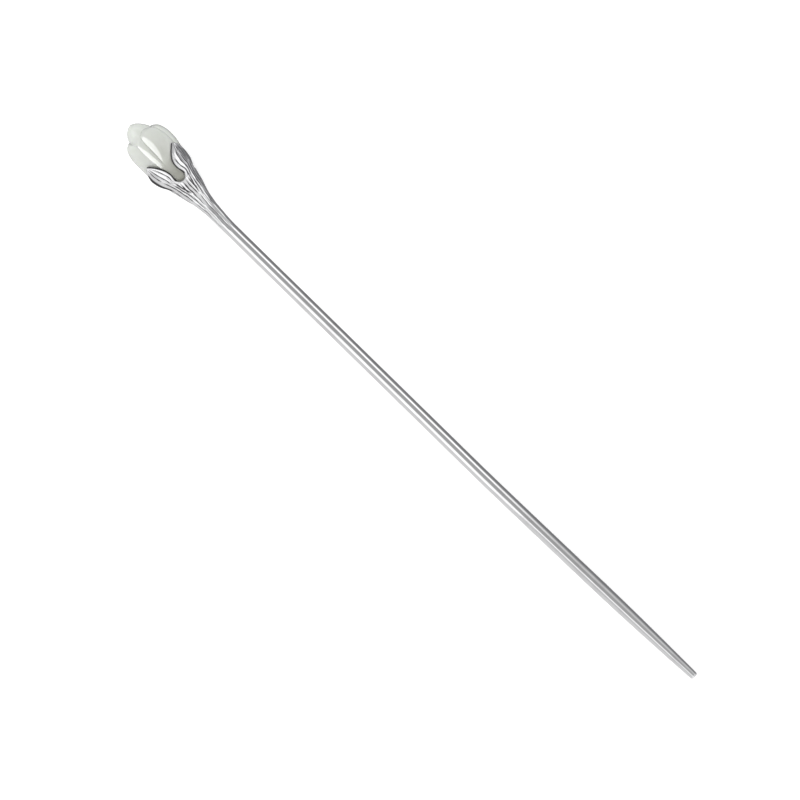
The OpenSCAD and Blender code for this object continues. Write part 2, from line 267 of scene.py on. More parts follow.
def ringPoints(z, angle, radius):
    z, angle, radius = np.broadcast_arrays(z, angle, radius)
    return np.stack([radius * cosDeg(angle), sideAt(z) + radius * sinDeg(angle), z], axis=-1)


# Where the stick lies, from the mount on its shaft
shaftMount = next(m for m in frame["record"]["mounts"] if m["name"] == "shaft")
alongStick = -Vector(shaftMount["axis"]).normalized()
sideways = Vector((0, 1, 0))
outOfFront = sideways.cross(alongStick)
layDown = Matrix((outOfFront, sideways, alongStick)).transposed()


def inFrame(points):
    local = (np.asarray(points) - (0, 0, stick["mountHeight"])) * mm
    return local @ np.array(layDown).T + np.array(shaftMount["pos_m"])


def patches(rows, closed=False, flip=False):
    # quads between neighbouring rows of vertex numbers
    if closed:
        rows = np.concatenate([rows, rows[:, :1]], axis=1)
    quads = np.stack([rows[:-1, :-1], rows[:-1, 1:], rows[1:, 1:], rows[1:, :-1]], axis=-1)
    quads = quads.reshape(-1, 4)
    return (quads[:, ::-1] if flip else quads).tolist()


def stitch(coarse, fine, flip=False):
    # triangles between a line of few vertices and a line of many above it
    ratio = (len(fine) - 1) // (len(coarse) - 1)
    faces = []
    for i in range(len(coarse) - 1):
        middle = i * ratio + ratio // 2
        faces.append((coarse[i], coarse[i + 1], fine[middle]))
        for j in range(i * ratio, (i + 1) * ratio):
            faces.append((coarse[i] if j < middle else coarse[i + 1], fine[j + 1], fine[j]))
    return [face[::-1] if flip else face for face in faces]


def makePiece(name, points, faces, sharpAngle, **fields):
    mesh = bpy.data.meshes.new(name)
    mesh.from_pydata(inFrame(points).tolist(), [], faces)
    for field, values in fields.items():
        layer = mesh.attributes.new(field, "FLOAT", "POINT")
        layer.data.foreach_set("value", np.asarray(values, np.float32))
    mesh.shade_smooth()
    mesh.set_sharp_from_angle(angle=math.radians(sharpAngle))
    mesh.update()
    piece = bpy.data.objects.new(name, mesh)
    bpy.context.scene.collection.objects.link(piece)
    print("made", name, "with", sum(len(face) - 2 for face in faces), "triangles")
    return piece


# Shader maths

class Sock:
    # a socket whose arithmetic adds nodes
    def __init__(self, graph, socket):
        self.graph, self.socket = graph, socket

    def math(self, operation, *others):
        return self.graph.node("ShaderNodeMath", {"operation": operation}, (self, *others))

    def __add__(self, other): return self.math("ADD", other)
    def __radd__(self, other): return self.math("ADD", other)
    def __sub__(self, other): return self.math("SUBTRACT", other)

    def __rsub__(self, other):
        return self.graph.node("ShaderNodeMath", {"operation": "SUBTRACT"}, (other, self))

    def __mul__(self, other): return self.math("MULTIPLY", other)
    def __rmul__(self, other): return self.math("MULTIPLY", other)
    def __truediv__(self, other): return self.math("DIVIDE", other)


class Graph:
    def __init__(self, tree):
        self.tree = tree
        tree.nodes.clear()

    def node(self, kind, settings=None, inputs=(), output=0):
        made = self.tree.nodes.new(kind)
        for name, value in (settings or {}).items():
            if name == "stops":
                while len(made.color_ramp.elements) < len(value):
                    made.color_ramp.elements.new(0.5)
                for element, (place, colour) in zip(made.color_ramp.elements, value):
                    element.position = place
                    element.color = (*colour, 1)
            else:
                setattr(made, name, value)
        pairs = inputs.items() if isinstance(inputs, dict) else enumerate(inputs)
        for name, value in pairs:
            if isinstance(value, Sock):
                self.tree.links.new(value.socket, made.inputs[name])
            else:
                made.inputs[name].default_value = value
        return Sock(self, made.outputs[output])

    def mix(self, factor, a, b):
        # colour a where the factor is 0, colour b where it is 1
        made = self.node("ShaderNodeMix", {"data_type": "RGBA"}, {0: factor}, 2)
        for place, value in ((6, a), (7, b)):
            if isinstance(value, Sock):
                self.tree.links.new(value.socket, made.socket.node.inputs[place])
            else:
                made.socket.node.inputs[place].default_value = (*value, 1)
        return made

    def steps(self, value, low, high):
        # rises smoothly from 0 to 1
        return self.node("ShaderNodeMapRange", {"interpolation_type": "SMOOTHSTEP"},
                         {"Value": value, "From Min": low, "From Max": high})

    def surface(self, shader, kind="ShaderNodeOutputMaterial"):
        end = self.tree.nodes.new(kind)
        self.tree.links.new(shader.socket, end.inputs["Surface"])


def newMaterial(name):
    material = bpy.data.materials.new(name)
    material.use_nodes = True
    return material, Graph(material.node_tree)


# Silver stick: shaft and calyx in one

engraving = {
    "seed": 7,
    # The lines that start on the neck, then those between them. A lane is a place across half
    # a sepal and how far above the start of the calyx its line begins. Each set has the share
    # of a sepal's length that it reaches, how much its starts vary, and its strength.
    "laneSets": [
        {"lanes": [(-0.8, 1.5), (-0.4, 10.0), (0.0, 3.0), (0.4, 8.5), (0.8, 0.5)],
         "reach": 0.93, "vary": 0.8, "strength": 1.0},
        {"lanes": [(-0.6, 17.2), (-0.2, 16.4), (0.2, 17.0), (0.6, 16.0)],
         "reach": 0.86, "vary": 1.0, "strength": 0.9},
    ],
    "reachFall": 0.2,  # how much sooner the lines at the sides end
    "laneDrift": 0.025,  # how far off its lane a stretch of line may lie
    # sepal and lane of the lines left out where they would crowd
    "leftOut": [(3, -0.6), (3, -0.4), (3, -0.2), (3, 0.2), (3, 0.6),
                (0, -0.6), (0, -0.2), (0, 0.2), (0, 0.6)],
    "notchLines": (-1.2, -0.45, 0.3, 1.05),  # distances in mm from under a notch
    # how far below it they start, how much less that is per mm aside, and how much it varies
    "notchFeet": (5.2, 1.5, 0.6),
    "notchClear": (0.1, 0.3),  # how far below it they end
    "flowStart": 6.5,  # how far below a notch the lines begin to part
    "edgeMargin": 0.3,  # how far they stay from a sepal's side
    "halfWidth": (0.19, 0.27),
    "slimming": (3.3, 0.4),  # lines are slimmer where the calyx is thinner than this radius
    "depth": (0.04, 0.06),
    "dash": (3.5, 11.0),
    "leastDash": 0.8,
    "gap": (0.1, 0.4),
    "wobble": 0.07,
    "waves": [(1.05, 1.0), (2.3, 0.4), (4.1, 0.18)],  # radians per mm, and share of the wobble
    "endFade": (0.7, 1.1),  # lengths over which a line begins and ends
    "endWidth": 0.35,  # share of a line's width that is left at its ends
    "unevenness": (0.15, 3.7),  # how much the width varies, and radians per mm
    "blackFrom": (0.05, 0.6),  # where the black starts across a line, and over what share
    # short lines on each sepal, from below the notches to the tip
    "scratches": {"count": 5, "below": 7.0, "clear": 1.5, "lanes": (-0.9, 0.9),
                  "length": (0.6, 1.6), "strength": 0.55},
    # one deeper cut near each sepal's tip
    "pit": {"place": 0.80, "lanes": (-0.2, 0.1), "length": 0.95, "halfWidth": 0.26, "depth": 0.14},
    # width of the dark rim, partly painted shade of the gap to the stone
    "rimBlack": 0.09,
    "rimStart": (0.5, 0.5),  # how far above a notch the rim turns dark, and over what height
    "rimClear": (0.10, 0.24),
    "wallBlack": 0.25,  # how black the wall under a notch is
    # painted dark reflection: the left side is painted black: the depths where that begins
    # and ends, over what heights, how near the side it starts and over what share, and how far
    # back it goes
    "outline": {"depths": (18.3, 10.5), "fades": (1.5, 0.8), "side": (0.84, 0.05), "back": -0.4},
}


def sepalTip(k):
    return stick["length"] - calyx["tipDepth"] - calyx["sepals"][k][0]


def leafHalfAt(k, z):
    _, _, widest, power = calyx["sepals"][k]
    share = np.clip((z - notchHeight) / (sepalTip(k) - notchHeight), 0, 1)
    taper = np.clip((share - widest) / (1 - widest), 0, 1) ** power
    low, high = calyx["waistRise"]
    belly = ease((share - low) / (high - low))
    low = blend(calyx["waistHalf"], calyx["widestHalf"], belly)
    return np.where(share > widest, calyx["widestHalf"] * (1 - taper), low)


def sepalHalfAt(k, z, inset=0.0):
    z = z + inset
    corner = np.clip(1 - (z - notchHeight) / calyx["cornerHeight"], 0, 1)
    away = 1 - np.sqrt(1 - corner * corner)
    half = leafHalfAt(k, z) - np.degrees(inset / budRadius)
    return blend(np.maximum(half, calyx["leastHalf"]), sepalPitch / 2, away)


def sepalMiddleAt(k, z):
    reach = calyx["leanReach"] * (z - notchHeight) / (sepalTip(k) - notchHeight)
    return (k + 0.5) * sepalPitch + calyx["sepals"][k][1] * ease(reach)


def flowHalfAt(k, z, radius):
    parting = ease((z - notchHeight + engraving["flowStart"])
                   / (engraving["flowStart"] + calyx["cornerHeight"]))
    leaf = np.maximum(leafHalfAt(k, z) - np.degrees(engraving["edgeMargin"] / radius), 0)
    return blend(sepalPitch / 2, leaf, parting)


def drawStrokes():
    # each stroke: sepal, lane in it or distance from under its notch, whether it is one of
    # those under the notch, start and end heights, half width, depth, phase of its wobble
    rng = np.random.default_rng(engraving["seed"])
    drift = engraving["laneDrift"]
    scratches, pit = engraving["scratches"], engraving["pit"]
    strokes = []

    def stroke(k, lane, underNotch, low, high, fade=1.0):
        half = rng.uniform(*engraving["halfWidth"]) * fade
        depth = rng.uniform(*engraving["depth"]) * fade
        strokes.append((k, lane, underNotch, low, high, half, depth, rng.uniform(0, 6.28)))

    def dashes(k, lane, low, high, fade):
        if (k, lane) in engraving["leftOut"]:
            return
        z = low
        while z < high - engraving["leastDash"]:
            end = min(high, z + rng.uniform(*engraving["dash"]))
            stroke(k, lane + rng.uniform(-drift, drift), False, z, end, fade)
            z = end + rng.uniform(*engraving["gap"])

    for k in range(len(calyx["sepals"])):
        tip = sepalTip(k)
        for laneSet in engraving["laneSets"]:
            vary = laneSet["vary"]
            for lane, begins in laneSet["lanes"]:
                reach = laneSet["reach"] - engraving["reachFall"] * abs(lane) ** 2
                low = calyxStart + begins + rng.uniform(-vary, vary)
                dashes(k, lane, low, blend(notchHeight, tip, reach), laneSet["strength"])
        below, aside, vary = engraving["notchFeet"]
        for away in engraving["notchLines"]:
            low = notchHeight - below + aside * abs(away) + rng.uniform(-vary, vary)
            stroke(k, away, True, low, notchHeight - rng.uniform(*engraving["notchClear"]))
        for _ in range(scratches["count"]):
            z = blend(notchHeight - scratches["below"], tip - scratches["clear"], rng.uniform(0, 1))
            stroke(k, rng.uniform(*scratches["lanes"]), False, z,
                   z + rng.uniform(*scratches["length"]), scratches["strength"])
        z = blend(notchHeight, tip, pit["place"])
        strokes.append((k, rng.uniform(*pit["lanes"]), False, z, z + pit["length"],
                        pit["halfWidth"], pit["depth"], 0.0))
    return strokes


def paintedLeftReflection(angle, z):
    # painted dark reflection: black along the left side of the calyx, where the silver turns away
    # from the light
    outline = engraving["outline"]
    low, high = outline["depths"]
    lowFade, highFade = outline["fades"]
    start, width = outline["side"]
    depth = stick["length"] - z
    ends = ease((low - depth) / lowFade) * ease((depth - high) / highFade)
    return ends * ease((-sinDeg(angle) - start) / width) * (cosDeg(angle) > outline["back"])


def innerBlack(z):
    return blend(engraving["wallBlack"], 1, ease((z - notchHeight) / calyx["cornerHeight"]))


def cutCalyx(angle, z, radius):
    # depth of the engraving at points of the calyx, and how black it is there
    depth = np.zeros_like(z)
    black = np.zeros_like(z)
    slimRadius, slimmest = engraving["slimming"]
    (slow, slowShare), (middling, middlingShare), (fast, fastShare) = engraving["waves"]
    startFade, endFade = engraving["endFade"]
    uneven, unevenTurn = engraving["unevenness"]
    blackStart, blackShare = engraving["blackFrom"]
    for k, lane, underNotch, low, high, half, deep, phase in drawStrokes():
        near = (z > low) & (z < high)
        zs = z[near]
        rs = radius[near]
        side = 0.5 * lane if underNotch else 1.3 * (k + lane)  # so that neighbours wave alike
        wobble = engraving["wobble"] * (slowShare * np.sin(zs * slow + side)
                                        + middlingShare * np.sin(zs * middling - 1.6 * side)
                                        + fastShare * np.sin(zs * fast + phase))
        if underNotch:
            middle = k * sepalPitch + np.degrees(lane / rs)
        else:
            middle = sepalMiddleAt(k, zs) + lane * flowHalfAt(k, zs, rs)
        middle = middle + np.degrees(wobble / rs)
        away = (angle[near] - middle + 180) % 360 - 180
        t = (zs - low) / (high - low)
        ends = np.minimum(1, t * (high - low) / startFade)
        ends = ends * np.minimum(1, (1 - t) * (high - low) / endFade)
        width = half * blend(engraving["endWidth"], 1, np.sqrt(ends))
        width = width * (1 + uneven * np.sin(zs * unevenTurn + phase))
        width = width * np.clip(rs / slimRadius, slimmest, 1)
        across = np.clip(1 - np.abs(np.radians(away)) * rs / width, 0, 1)
        cut = deep * np.sqrt(ends) * ease(across)
        depth[near] = np.maximum(depth[near], cut)
        blackness = ease((across - blackStart) / blackShare) * np.sqrt(ends)
        black[near] = np.maximum(black[near], blackness)
    return depth, black


def rimDistances(points):
    # distance of each point from the outer edge of the sepals
    inset, samples = calyx["rimInset"], calyx["rimSamples"]
    tree = KDTree(len(calyx["sepals"]) * 2 * samples)
    number = 0
    for k in range(len(calyx["sepals"])):
        top = blend(notchHeight, sepalTip(k), calyx["tipShare"])
        z = blend(notchHeight, top, 1 - cosDeg(90 * np.linspace(0, 1, samples))) - inset
        for side in (-1, 1):
            angle = sepalMiddleAt(k, z) + side * sepalHalfAt(k, z, inset)
            for point in ringPoints(z, angle, calyxRadiusAt(z)):
                tree.insert(point, number)
                number += 1
    tree.balance()
    return np.array([tree.find(point)[2] for point in points])


def outerSkin(angle, z, across):
    # radius of the engraved silver, and its blackening
    radius = calyxRadiusAt(z)
    vein = calyx["veinHeight"] * np.cos(np.pi * calyx["veins"] * across)
    neckFade, sideFade = calyx["veinFade"]
    vein *= ease((z - calyxStart) / neckFade) * ease((1 - np.abs(across)) / sideFade)
    depth, black = cutCalyx(angle, z, radius)
    near = z > notchHeight - calyx["rimBelow"]
    rim = np.full(z.shape, np.inf)
    rim[near] = rimDistances(ringPoints(z, angle, radius)[near])
    start, full = engraving["rimClear"]
    clear = ease((rim - start) / (full - start))
    rounding, reach = calyx["rimRound"]
    edge = np.clip(1 - rim / reach, 0, 1)
    radius = radius + vein * clear - depth * clear - rounding * edge ** 2
    # the rim is painted dark except under a notch: oxide on the silver's edge, and painted shade of
    # the gap to the stone
    above, fade = engraving["rimStart"]
    dark = ease((z - notchHeight - above) / fade)
    black = np.maximum(black * clear, dark * (1 - ease(rim / engraving["rimBlack"])))
    # painted dark reflection down the left side
    black = np.maximum(black, paintedLeftReflection(angle, z))
    return radius, black


def leafHeights(k):
    corners, rows = calyx["cornerRows"], calyx["leafRows"]
    turn = np.arange(1, corners + 1) / corners
    low = notchHeight + calyx["cornerHeight"] * (1 - cosDeg(90 * turn))
    top = blend(notchHeight, sepalTip(k), calyx["tipShare"])
    rest = np.arange(1, rows - corners + 1) / (rows - corners)
    high = blend(notchHeight + calyx["cornerHeight"], top, sinDeg(90 * rest))
    return np.concatenate([low, high])


def makeSilverStick():
    points, black, faces = [], [], []

    def add(newPoints, blackness):
        first = sum(len(block) for block in points)
        block = newPoints.reshape(-1, 3)
        points.append(block)
        black.append(np.broadcast_to(blackness, newPoints.shape[:-1]).reshape(-1))
        return first + np.arange(len(block)).reshape(newPoints.shape[:-1])

    sepals = len(calyx["sepals"])
    columns = calyx["sepalColumns"]
    inside = calyx["insideColumns"]
    inset = calyx["rimInset"]

    # shaft, from the point up
    turn = np.arange(stick["pointRings"]) / stick["pointRings"]
    turn = 90 * (turn + stick["pointShift"])
    nose = blend(stick["pointStart"], stick["pointRound"], 1 - cosDeg(turn))
    shaftEnd, neckFoot = (calyxStart - below for below in calyx["join"])
    heights = np.linspace(stick["pointRound"], shaftEnd, stick["rings"])
    heights = np.concatenate([nose, heights])
    angles = np.arange(stick["columns"]) * 360 / stick["columns"]
    shaft = add(ringPoints(heights[:, None], angles, shaftRadiusAt(heights)[:, None]), 0.0)
    faces += patches(shaft, closed=True)
    faces.append(shaft[0][::-1].tolist())

    # outer skin of the neck, then of each sepal
    z = np.linspace(neckFoot, notchHeight - inset, calyx["neckRows"] + 1)[:, None]
    across = 2 * (np.arange(sepals * columns) % columns) / columns - 1
    angle = np.arange(sepals * columns) * sepalPitch / columns
    z, angle, across = np.broadcast_arrays(z, angle, across)
    radius, blackness = outerSkin(angle.ravel(), z.ravel(), across.ravel())
    neck = add(ringPoints(z, angle, radius.reshape(z.shape)), blackness.reshape(z.shape))
    faces += patches(neck, closed=True)
    closedShaft = np.append(shaft[-1], shaft[-1][0])
    faces += stitch(closedShaft.tolist(), np.append(neck[0], neck[0][0]).tolist())

    # inside of the cup
    cupFloor = stick["length"] - bud["rootDepth"] - calyx["seatGap"]
    z = np.linspace(cupFloor, notchHeight, calyx["cupRows"] + 1)[:, None]
    angle = np.arange(sepals * inside)[None, :] * sepalPitch / inside
    cup = add(ringPoints(z, angle, budRadiusAt(z) * flattenAt(angle) + calyx["seatGap"]),
              innerBlack(z))
    faces += patches(cup, closed=True, flip=True)
    faces.append(cup[0].tolist())

    def rootLine(ring, k, count):
        # the stretch of a closed ring that sepal k grows from
        return np.take(ring, np.arange(k * count, (k + 1) * count + 1), mode="wrap")[None, :]

    for k in range(sepals):
        heights = leafHeights(k)
        across = np.linspace(-1, 1, columns + 1)[None, :]
        z = np.broadcast_to(heights[:, None] - inset, (len(heights), columns + 1))
        angle = sepalMiddleAt(k, z) + across * sepalHalfAt(k, z, inset)
        across = np.broadcast_to(across, z.shape)
        radius, blackness = outerSkin(angle.ravel(), z.ravel(), across.ravel())
        outer = add(ringPoints(z, angle, radius.reshape(z.shape)), blackness.reshape(z.shape))
        outer = np.concatenate([rootLine(neck[-1], k, columns), outer])

        across = np.linspace(-1, 1, inside + 1)[None, :]
        z = heights[:, None]
        angle = sepalMiddleAt(k, z) + across * sepalHalfAt(k, z)
        inner = add(ringPoints(z, angle, budRadiusAt(z) * flattenAt(angle) + calyx["seatGap"]),
                    innerBlack(z))
        inner = np.concatenate([rootLine(cup[-1], k, inside), inner])

        faces += patches(outer) + patches(inner, flip=True)
        faces += patches(np.stack([inner[:, 0], outer[:, 0]], axis=1))
        faces += patches(np.stack([outer[:, -1], inner[:, -1]], axis=1))
        faces += stitch(inner[-1].tolist(), outer[-1].tolist(), flip=True)

    points, black = np.concatenate(points), np.concatenate(black)
    return makePiece("silverStick", points, faces, stick["sharpAngle"], black=black)


silverLook = {
    "bright": (0.93, 0.93, 0.94),
    "tarnish": (0.70, 0.68, 0.70),
    "recess": (0.035, 0.034, 0.037),
    "roughness": 0.11,
    "recessRoughness": 0.55,
    "recessGloss": 0.08,
    "recessMetal": 0.9,  # how much less metallic the black is
    "brushScale": (60, 2600, 2600),
    "brushDetail": 3.0,
    "brushBump": (0.05, 0.00004),  # strength and depth in metres
    "cloudScale": 220.0,
    "cloudDetail": 4.0,
    "cloudSteps": (0.48, 0.75),
    "cloudShare": 0.35,
    "unevenPolish": (0.05, 0.03),  # roughness that brush marks and clouds add
}


def oxidisedSilver():
    material, g = newMaterial("oxidised silver")
    place = g.node("ShaderNodeTexCoord", output=3)
    stretched = g.node("ShaderNodeMapping", {}, {
        "Vector": place, "Scale": silverLook["brushScale"]})
    brushed = g.node("ShaderNodeTexNoise", {}, {
        "Vector": stretched, "Scale": 1.0, "Detail": silverLook["brushDetail"]})
    clouds = g.node("ShaderNodeTexNoise", {}, {
        "Vector": place, "Scale": silverLook["cloudScale"], "Detail": silverLook["cloudDetail"]})
    # the black attribute: oxide in the engraved lines, painted shade along the rims and a painted
    # dark reflection down the left side
    black = g.node("ShaderNodeAttribute", {"attribute_name": "black"}, output=2)
    tarnished = g.steps(clouds, *silverLook["cloudSteps"]) * silverLook["cloudShare"]
    clean = g.mix(tarnished, silverLook["bright"], silverLook["tarnish"])
    colour = g.mix(black, clean, silverLook["recess"])
    byBrush, byCloud = silverLook["unevenPolish"]
    polish = silverLook["roughness"] + byBrush * brushed + byCloud * clouds
    roughness = polish * (1 - black) + silverLook["recessRoughness"] * black
    strength, depth = silverLook["brushBump"]
    bump = g.node("ShaderNodeBump", {}, {
        "Height": brushed, "Strength": strength, "Distance": depth})
    g.surface(g.node("ShaderNodeBsdfPrincipled", {}, {
        "Base Color": colour,
        "Metallic": 1 - silverLook["recessMetal"] * black,
        "Roughness": roughness,
        "Specular IOR Level": silverLook["recessGloss"],
        "Normal": bump}))
    return material


# Jade bud

jadeLook = {
    "pale": (0.70, 0.72, 0.69),
    "cloud": (0.65, 0.675, 0.635),
    # the deep colour is the colour of the painted shade
    "deep": (0.265, 0.264, 0.222),
    # painted shade: share of the deep colour by depth, darker towards the cup, where the silver
    # shades the stone
    "shade": [(17.0, 0.96), (15.2, 0.91), (13.9, 0.80), (12.5, 0.70), (11.5, 0.53), (10.2, 0.45),
              (9.0, 0.41), (7.5, 0.35), (5.7, 0.27), (4.0, 0.18), (2.0, 0.03)],
    # the painted shade is fullest on the front and lighter on the sides, as the light falls
    "shadeFront": (10.0, 40.0, 10.0),  # middle of the darker front, where it ends and is full
    "shadeSides": (0.6, 0.3),  # how much of it is left on the left and on the right
    "shadeCup": (10.5, 13.0),  # depths from which it is even all round
    "scatter": 0.75,
    "scatterRadius": (1.0, 1.05, 0.9),
    "scatterDepth": 0.0012,
    "roughness": 0.15,
    "ior": 1.62,
    "coatIor": 1.75,
    "coatRoughness": 0.06,
    "cloudScale": 190.0,
    "cloudDetail": 5.0,
    "cloudTwist": 0.6,
    "cloudSteps": (0.42, 0.78),
    "fleckScale": 1400.0,
    "fleckDetail": 2.0,
    "fleckShares": (0.15, 0.05),  # how much the flecks add to the clouds and to the roughness
}


def paleJade():
    material, g = newMaterial("pale jade")
    place = g.node("ShaderNodeTexCoord", output=3)
    clouds = g.node("ShaderNodeTexNoise", {}, {
        "Vector": place, "Scale": jadeLook["cloudScale"], "Detail": jadeLook["cloudDetail"],
        "Distortion": jadeLook["cloudTwist"]})
    flecks = g.node("ShaderNodeTexNoise", {}, {
        "Vector": place, "Scale": jadeLook["fleckScale"], "Detail": jadeLook["fleckDetail"]})
    # painted shade: the stone is darkened towards the cup and on its front
    shade = g.node("ShaderNodeAttribute", {"attribute_name": "shade"}, output=2)
    toClouds, toRoughness = jadeLook["fleckShares"]
    clouded = g.steps(clouds + toClouds * flecks, *jadeLook["cloudSteps"])
    stone = g.mix(clouded, jadeLook["pale"], jadeLook["cloud"])
    g.surface(g.node("ShaderNodeBsdfPrincipled", {}, {
        "Base Color": g.mix(shade, stone, jadeLook["deep"]),
        "Roughness": jadeLook["roughness"] + toRoughness * flecks,
        "Subsurface Weight": jadeLook["scatter"],
        "Subsurface Radius": jadeLook["scatterRadius"],
        "Subsurface Scale": jadeLook["scatterDepth"],
        "IOR": jadeLook["ior"],
        "Coat Weight": 1.0,
        "Coat Roughness": jadeLook["coatRoughness"],
        "Coat IOR": jadeLook["coatIor"]}))
    return material


def edgeAngle(i, z):
    count = len(bud["petals"])
    petal = bud["petals"][i % count]
    rise = (z - budWidest) / bud["driftHeight"]
    drift = np.where(rise < 0, petal["drift"][0] * np.minimum(1, rise * rise),
                     petal["drift"][1] * np.minimum(1, np.maximum(rise, 0) ** 3))
    return 360 * (i // count) + petal["edge"] + drift


def petalTop(i, angle):
    petal = bud["petals"][i]
    fall = petal["fall"] * (np.abs(angle - petal["tip"]) / 90) ** bud["topFallPower"]
    return stick["length"] - petal["tipDepth"] - fall


def gougeWidthAt(petal, z):
    depth = stick["length"] - z
    inside = (depth < petal["gouge"][0][0]) & (depth > petal["gouge"][-1][0])
    return np.where(inside, np.maximum(smoothCurve(petal["gouge"], depth), 0), 0) + tiny


def petalRadius(i, share, z, topZ, angle, width):
    petal = bud["petals"][i]
    after = bud["petals"][(i + 1) % len(bud["petals"])]
    fromEdge = share * width
    toNext = (1 - share) * width
    gougeWidth = gougeWidthAt(petal, z)
    left = np.clip(1 - fromEdge / gougeWidth, 0, 1)
    gouge = petal["slope"] * gougeWidth * left * left / (left + bud["gougeSoft"])
    rounded = 0.5 * petal["round"] * np.clip(1 - fromEdge / petal["round"], 0, 1) ** 2
    depth = stick["length"] - z
    low, high = bud["edgeEnd"]
    ending = ease((low - depth) / (low - high))
    rounded = rounded * ending
    lapped = after["slope"] * gougeWidthAt(after, z) + after["step"] * ending
    leastReach, tuckPower = bud["tuck"]
    reach = tiny
    if after["stepReach"]:
        reach = np.clip(width - gougeWidth, leastReach, after["stepReach"])
    tuck = lapped * np.clip(1 - toNext / reach, 0, 1) ** tuckPower
    cuts = gouge + rounded + tuck
    outer = budRadiusAt(z, petal["shoulder"]) * faced(angle, *petal["face"]) - cuts
    inner = mergedRadiusAt(z, angle)
    fade = ease((topZ - z) / bud["mergeFade"])
    if petal["merges"]:
        return np.where(z < budWidest, outer, inner - cuts * fade)
    inner = blend(inner, domeRadiusAt(z, angle), fade)
    below = np.clip((topZ - z) / petal["tipRound"], 0, 1)
    roundIn = blend(petal["lip"], 1, np.sqrt(1 - (1 - below) ** 2))
    return np.where(z < budWidest, outer, np.maximum(inner, blend(inner, outer, roundIn)))


# painted shade of the stone, by depth and by angle round the stick
def stoneShade(points):
    depth = stick["length"] - points[:, 2]
    angle = np.degrees(np.arctan2(points[:, 1] - sideAt(points[:, 2]), points[:, 0]))
    middle, ends, full = jadeLook["shadeFront"]
    front = ease((cosDeg(angle - middle) - cosDeg(ends)) / (cosDeg(full) - cosDeg(ends)))
    low, high = jadeLook["shadeCup"]
    sides = blend(*jadeLook["shadeSides"], ease(0.5 + 0.5 * sinDeg(angle - middle)))
    share = blend(blend(sides, 1, front), 1, ease((depth - low) / (high - low)))
    return smoothCurve(jadeLook["shade"], depth) * share


def makeJadeBud():
    columns = []
    for i, petal in enumerate(bud["petals"]):
        t = np.linspace(0, 1, petal["columns"] + 1)
        crowded = t - bud["crowding"] * np.sin(2 * np.pi * t) / (2 * np.pi)
        columns += [(i, share) for share in crowded]

    def columnAngle(i, share, z):
        return blend(edgeAngle(i, z), edgeAngle(i + 1, z) - bud["edgeStep"], share)

    def columnTop(i, share):
        if bud["petals"][i]["merges"]:
            before = petalTop(i - 1, columnAngle(len(bud["petals"]) + i - 1, 1, budWidest))
            return blend(before, petalTop(i + 1, columnAngle(i + 1, 0, budWidest)), share)
        return petalTop(i, columnAngle(i, share, budWidest))

    root = stick["length"] - bud["rootDepth"]
    petalShare = sinDeg(90 * np.arange(bud["petalRows"] + 1) / bud["petalRows"])
    domeShare = 1 - (1 - np.arange(bud["domeRows"]) / bud["domeRows"]) ** 2
    grid = []
    for i, share in columns:
        topZ = columnTop(i, share)
        z = blend(root, topZ, petalShare)
        angle = columnAngle(i, share, z)
        width = np.radians(edgeAngle(i + 1, z) - edgeAngle(i, z))
        width = width * np.maximum(budRadiusAt(z), bud["leastRadius"])
        radius = petalRadius(i, share, z, topZ, angle, width) * flattenAt(angle)
        side = ringPoints(z, angle, radius)
        z = blend(topZ + bud["domeStart"], bud["topHeight"], domeShare)
        angle = columnAngle(i, share, topZ)
        dome = ringPoints(z, angle, mergedRadiusAt(z, angle) * flattenAt(angle))
        grid.append(np.concatenate([side, dome]))
    points = np.stack(grid, axis=1)
    rows = np.arange(points.shape[0] * points.shape[1]).reshape(points.shape[:2])
    faces = patches(rows, closed=True)
    top = rows.size
    last = np.append(rows[-1], rows[-1][0])
    faces += [(int(last[c]), int(last[c + 1]), top) for c in range(len(columns))]
    faces.append(rows[0][::-1].tolist())
    summit = [[0, float(sideAt(stick["length"])), bud["topHeight"]]]
    points = np.concatenate([points.reshape(-1, 3), summit])
    return makePiece("jadeBud", points, faces, bud["sharpAngle"], shade=stoneShade(points))


floorLook = {
    "colour": (0.9, 0.9, 0.9),
    "roughness": 0.7,
    "gloss": 0.1,
    "glow": 0.36,  # a white table lit from beneath
    "reach": 6.0,  # metres from the middle to a side
}


def plainFloor():
    material, g = newMaterial("pale floor")
    g.surface(g.node("ShaderNodeBsdfPrincipled", {}, {
        "Base Color": (*floorLook["colour"], 1),
        "Roughness": floorLook["roughness"],
        "Specular IOR Level": floorLook["gloss"],
        "Emission Color": (1, 1, 1, 1),
        "Emission Strength": floorLook["glow"]}))
    return material


# Light: a soft studio all round, given by the angle round the stick from straight above,
# positive on its right, for what mirrors straight up and for what leans towards the point

studio = {
    "background": (1.0, 1.0, 1.0),
    "round": [(-180, 0.70), (-100, 0.68), (-68, 0.62), (-57, 1.15), (-24, 1.15), (-17, 0.44),
              (-7, 0.36), (28, 0.33), (39, 0.57), (62, 0.57), (77, 0.27), (110, 0.20), (180, 0.18)],
    "ahead": [(-180, 0.55), (-140, 0.65), (-80, 0.80), (-56, 1.10), (-34, 1.10), (-14, 0.74),
              (22, 0.72), (40, 0.98), (58, 1.05), (74, 0.66), (88, 0.46), (115, 0.40), (180, 0.24)],
    "aheadFrom": (12.0, 17.0),  # degrees of lean between which one ramp gives way to the other
    "coolTint": (0.97, 0.975, 1.0),
    "coolFrom": 70,
}


